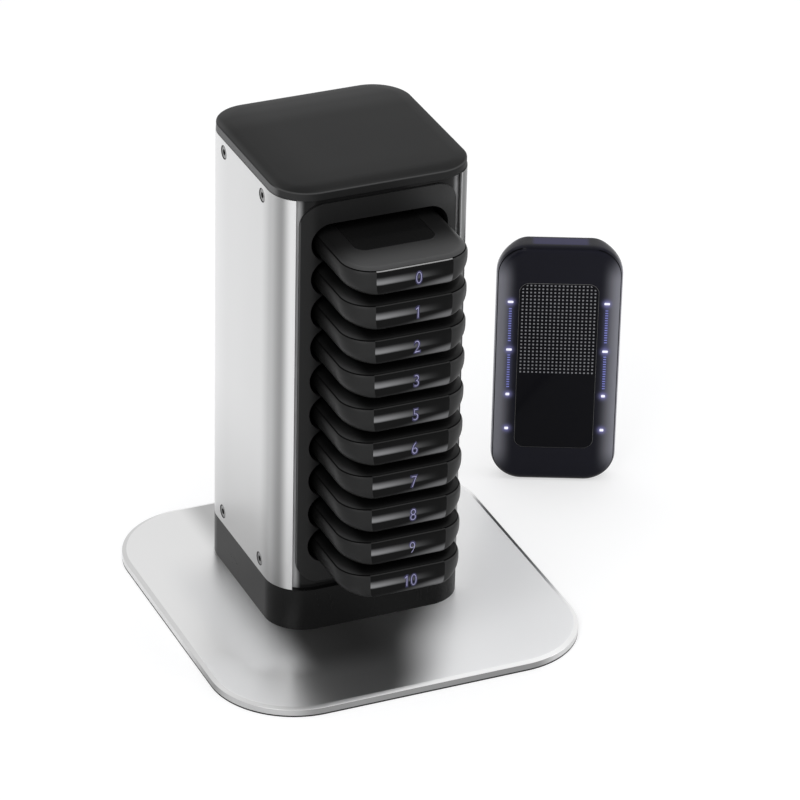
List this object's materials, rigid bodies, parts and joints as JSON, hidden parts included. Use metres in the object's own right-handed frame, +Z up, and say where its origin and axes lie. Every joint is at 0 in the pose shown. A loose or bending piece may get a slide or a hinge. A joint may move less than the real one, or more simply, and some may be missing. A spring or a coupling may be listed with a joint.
{
  "type": "guest pager system",
  "caption": "Charging tower on a rounded metal plate, with a column of numbered guest pagers docked in slots and another pager standing beside it.",
  "frame": {"origin": "centre of the plate, on the surface that the system stands on", "axes": "+Z up, +X to the right along the slotted front, -Y out of the front"},
  "size_m": [0.308, 0.229, 0.2789],
  "materials": {
    "plate_steel": "satin",
    "pad_rubber": "matte",
    "screw_steel": "polished",
    "plinth_plastic": "gloss",
    "cap_metal": "satin",
    "panel_metal": "satin",
    "bezel_plastic": "satin",
    "rack_plastic": "matte",
    "board_laminate": "satin",
    "contact_brass": "polished",
    "inlet_plastic": "matte",
    "pager_plastic": "gloss",
    "window_plastic": "gloss",
    "battery_foil": "satin",
    "display_glass": "gloss",
    "led_plastic": "gloss"
  },
  "bodies": {
    "tower": {"base_plate": "plate_steel", "rubber_pad": "pad_rubber", "plate_screws": "screw_steel", "plinth": "plinth_plastic", "top_cap": "cap_metal", "side_panel_left": "panel_metal", "side_panel_right": "panel_metal", "panel_screws": "screw_steel", "front_bezel": "bezel_plastic", "rear_cover": "bezel_plastic", "rack_side_left": "rack_plastic", "rack_side_right": "rack_plastic", "charge_board": "board_laminate", "charge_contacts": "contact_brass", "board_connector": "rack_plastic", "main_board": "board_laminate", "board_screws": "screw_steel", "power_inlet": "inlet_plastic"},
    "pager_0": {"pager_0_cover": "pager_plastic", "pager_0_base": "pager_plastic", "pager_0_lenses": "window_plastic"},
    "pager_1": {"pager_1_cover": "pager_plastic", "pager_1_base": "pager_plastic", "pager_1_lenses": "window_plastic"},
    "pager_2": {"pager_2_cover": "pager_plastic", "pager_2_base": "pager_plastic", "pager_2_lenses": "window_plastic"},
    "pager_3": {"pager_3_cover": "pager_plastic", "pager_3_base": "pager_plastic", "pager_3_lenses": "window_plastic"},
    "pager_5": {"pager_5_cover": "pager_plastic", "pager_5_base": "pager_plastic", "pager_5_lenses": "window_plastic"},
    "pager_6": {"pager_6_cover": "pager_plastic", "pager_6_base": "pager_plastic", "pager_6_lenses": "window_plastic"},
    "pager_7": {"pager_7_cover": "pager_plastic", "pager_7_base": "pager_plastic", "pager_7_lenses": "window_plastic"},
    "pager_8": {"pager_8_cover": "pager_plastic", "pager_8_base": "pager_plastic", "pager_8_lenses": "window_plastic"},
    "pager_9": {"pager_9_cover": "pager_plastic", "pager_9_base": "pager_plastic", "pager_9_lenses": "window_plastic"},
    "pager_10": {"pager_10_cover": "pager_plastic", "pager_10_base": "pager_plastic", "pager_10_lenses": "window_plastic"},
    "pager_4": {"pager_4_cover": "pager_plastic", "pager_4_base": "pager_plastic", "pager_4_window": "window_plastic", "pager_4_face_panel": "window_plastic", "pager_4_circuit_board": "board_laminate", "pager_4_battery": "battery_foil", "pager_4_display": "display_glass", "pager_4_leds": "led_plastic", "pager_4_buzzer": "rack_plastic", "pager_4_vibration_motor": "screw_steel", "pager_4_charge_pads": "contact_brass"},
    "motor_weight": {"pager_4_motor_weight": "contact_brass"}
  },
  "joints": [
    {"name": "pager_0_pull", "type": "slide", "parent": "tower", "child": "pager_0", "axis": [0, -1, 0], "range_m": [0, 0.115]},
    {"name": "pager_1_pull", "type": "slide", "parent": "tower", "child": "pager_1", "axis": [0, -1, 0], "range_m": [0, 0.115]},
    {"name": "pager_2_pull", "type": "slide", "parent": "tower", "child": "pager_2", "axis": [0, -1, 0], "range_m": [0, 0.115]},
    {"name": "pager_3_pull", "type": "slide", "parent": "tower", "child": "pager_3", "axis": [0, -1, 0], "range_m": [0, 0.115]},
    {"name": "pager_5_pull", "type": "slide", "parent": "tower", "child": "pager_5", "axis": [0, -1, 0], "range_m": [0, 0.115]},
    {"name": "pager_6_pull", "type": "slide", "parent": "tower", "child": "pager_6", "axis": [0, -1, 0], "range_m": [0, 0.115]},
    {"name": "pager_7_pull", "type": "slide", "parent": "tower", "child": "pager_7", "axis": [0, -1, 0], "range_m": [0, 0.115]},
    {"name": "pager_8_pull", "type": "slide", "parent": "tower", "child": "pager_8", "axis": [0, -1, 0], "range_m": [0, 0.115]},
    {"name": "pager_9_pull", "type": "slide", "parent": "tower", "child": "pager_9", "axis": [0, -1, 0], "range_m": [0, 0.115]},
    {"name": "pager_10_pull", "type": "slide", "parent": "tower", "child": "pager_10", "axis": [0, -1, 0], "range_m": [0, 0.115]},
    {"name": "pager_4_lift", "type": "slide", "parent": "tower", "child": "pager_4", "axis": [0, 0, 1], "range_m": [0, 0.12]},
    {"name": "motor_weight_spin", "type": "hinge", "parent": "pager_4", "child": "motor_weight", "pos_m": [0.16634, 0.08302, 0.0246], "axis": [0, 0, 1], "continuous": true}
  ]
}
